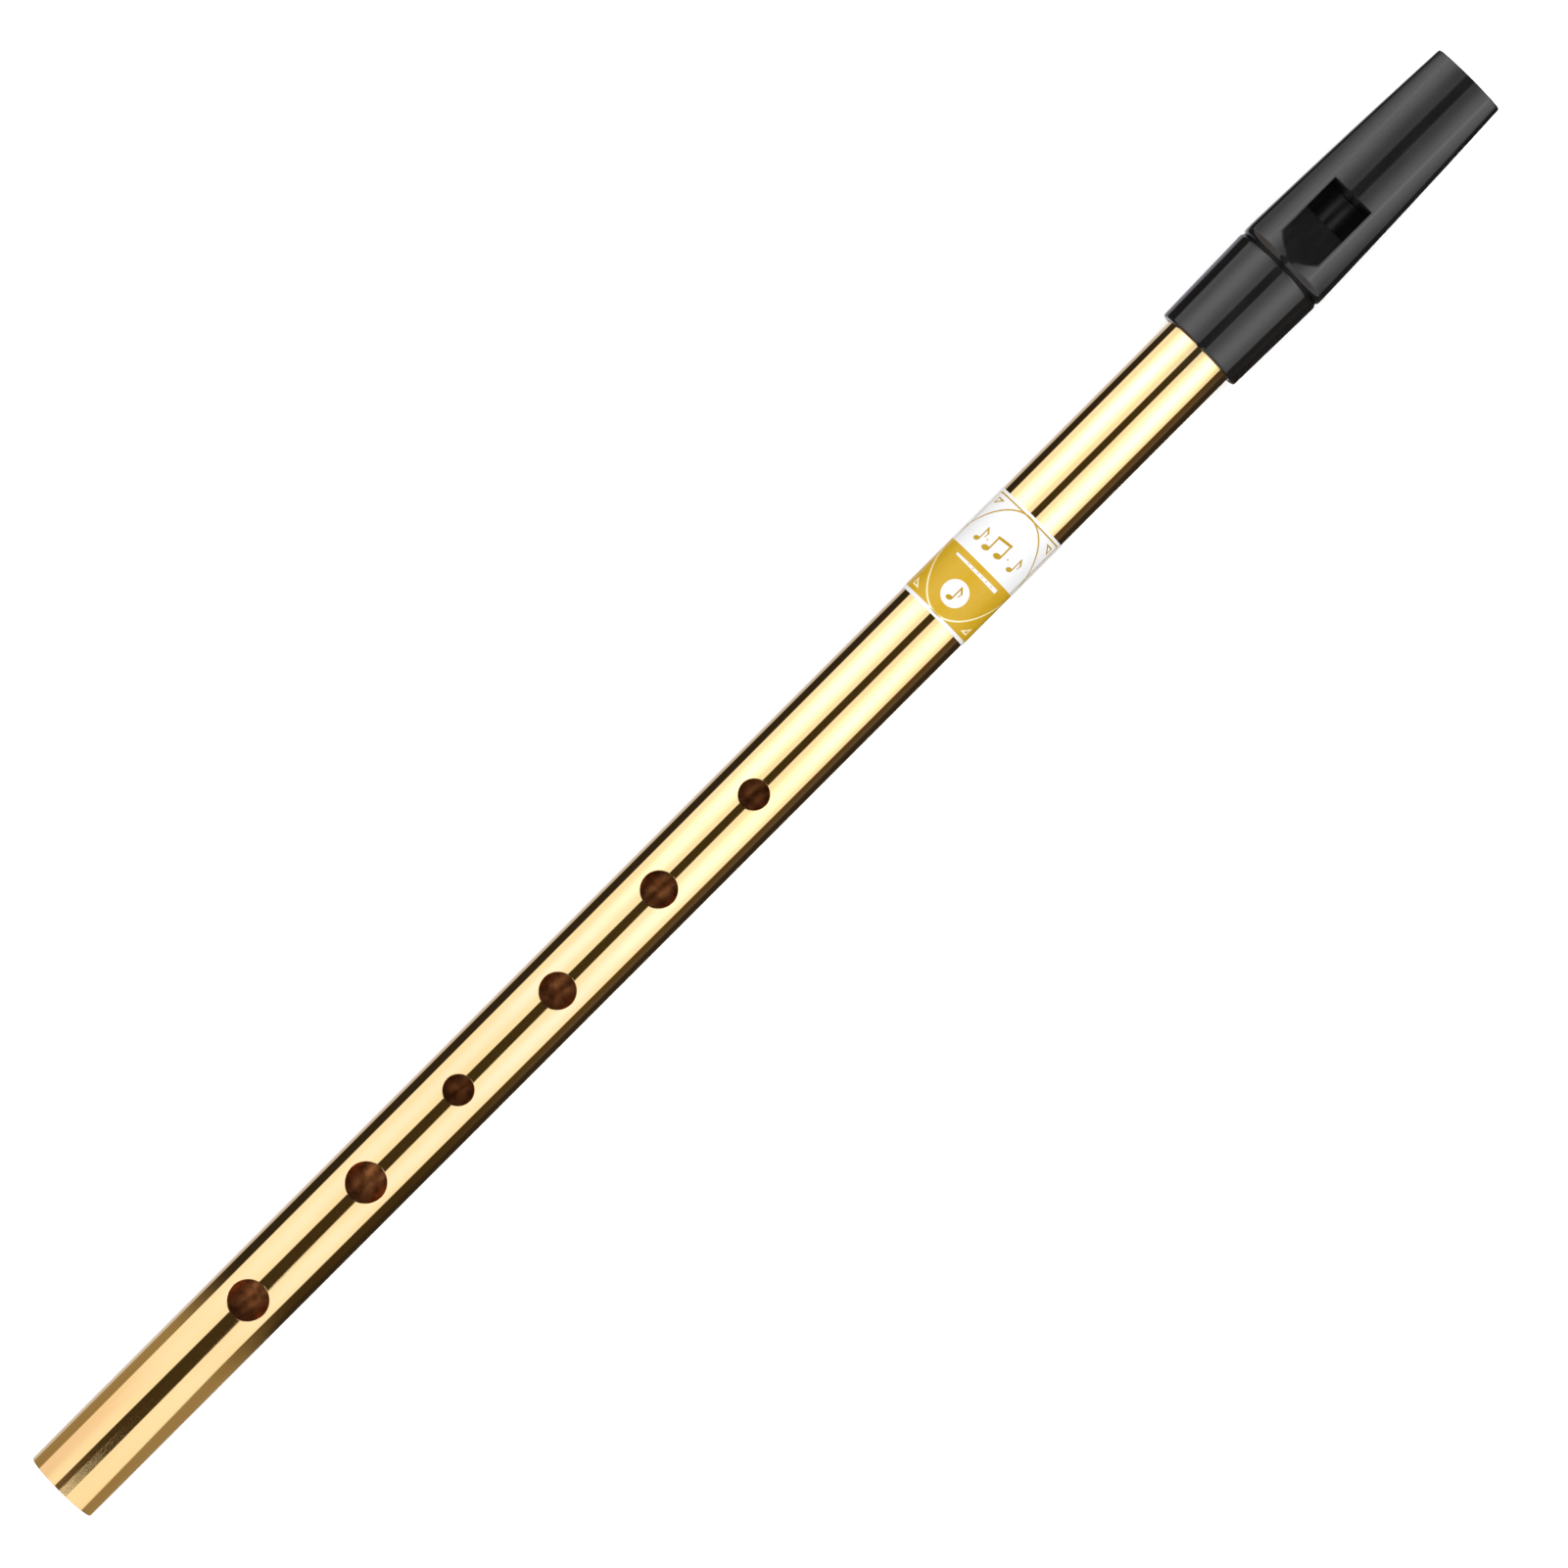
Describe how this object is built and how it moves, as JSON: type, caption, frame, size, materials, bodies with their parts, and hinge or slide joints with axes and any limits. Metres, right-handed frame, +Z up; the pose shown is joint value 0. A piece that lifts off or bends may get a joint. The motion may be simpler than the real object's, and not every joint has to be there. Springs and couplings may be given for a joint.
{
  "type": "tin whistle",
  "caption": "Straight brass tube whistle with finger holes in line, a wrap-round label and a black plastic mouthpiece that slides on for tuning.",
  "frame": {"origin": "centre of the bore at the foot's end face", "axes": "+X along the bore from the foot to the beak, +Z up through the finger holes and the window, +Y to the left seen from the foot"},
  "size_m": [0.333, 0.0174, 0.0174],
  "materials": {
    "brass": "polished and lacquered",
    "label_film": "printed film, semi-gloss",
    "black_plastic": "moulded, glossy",
    "block_plastic": "moulded, satin"
  },
  "bodies": {
    "body_tube": {"tube": "brass", "label": "label_film"},
    "head": {"mouthpiece": "black_plastic", "fipple_block": "block_plastic"}
  },
  "joints": [
    {"name": "tuning_slide", "type": "slide", "parent": "body_tube", "child": "head", "axis": [1, 0, 0], "range_m": [0, 0.012]}
  ]
}
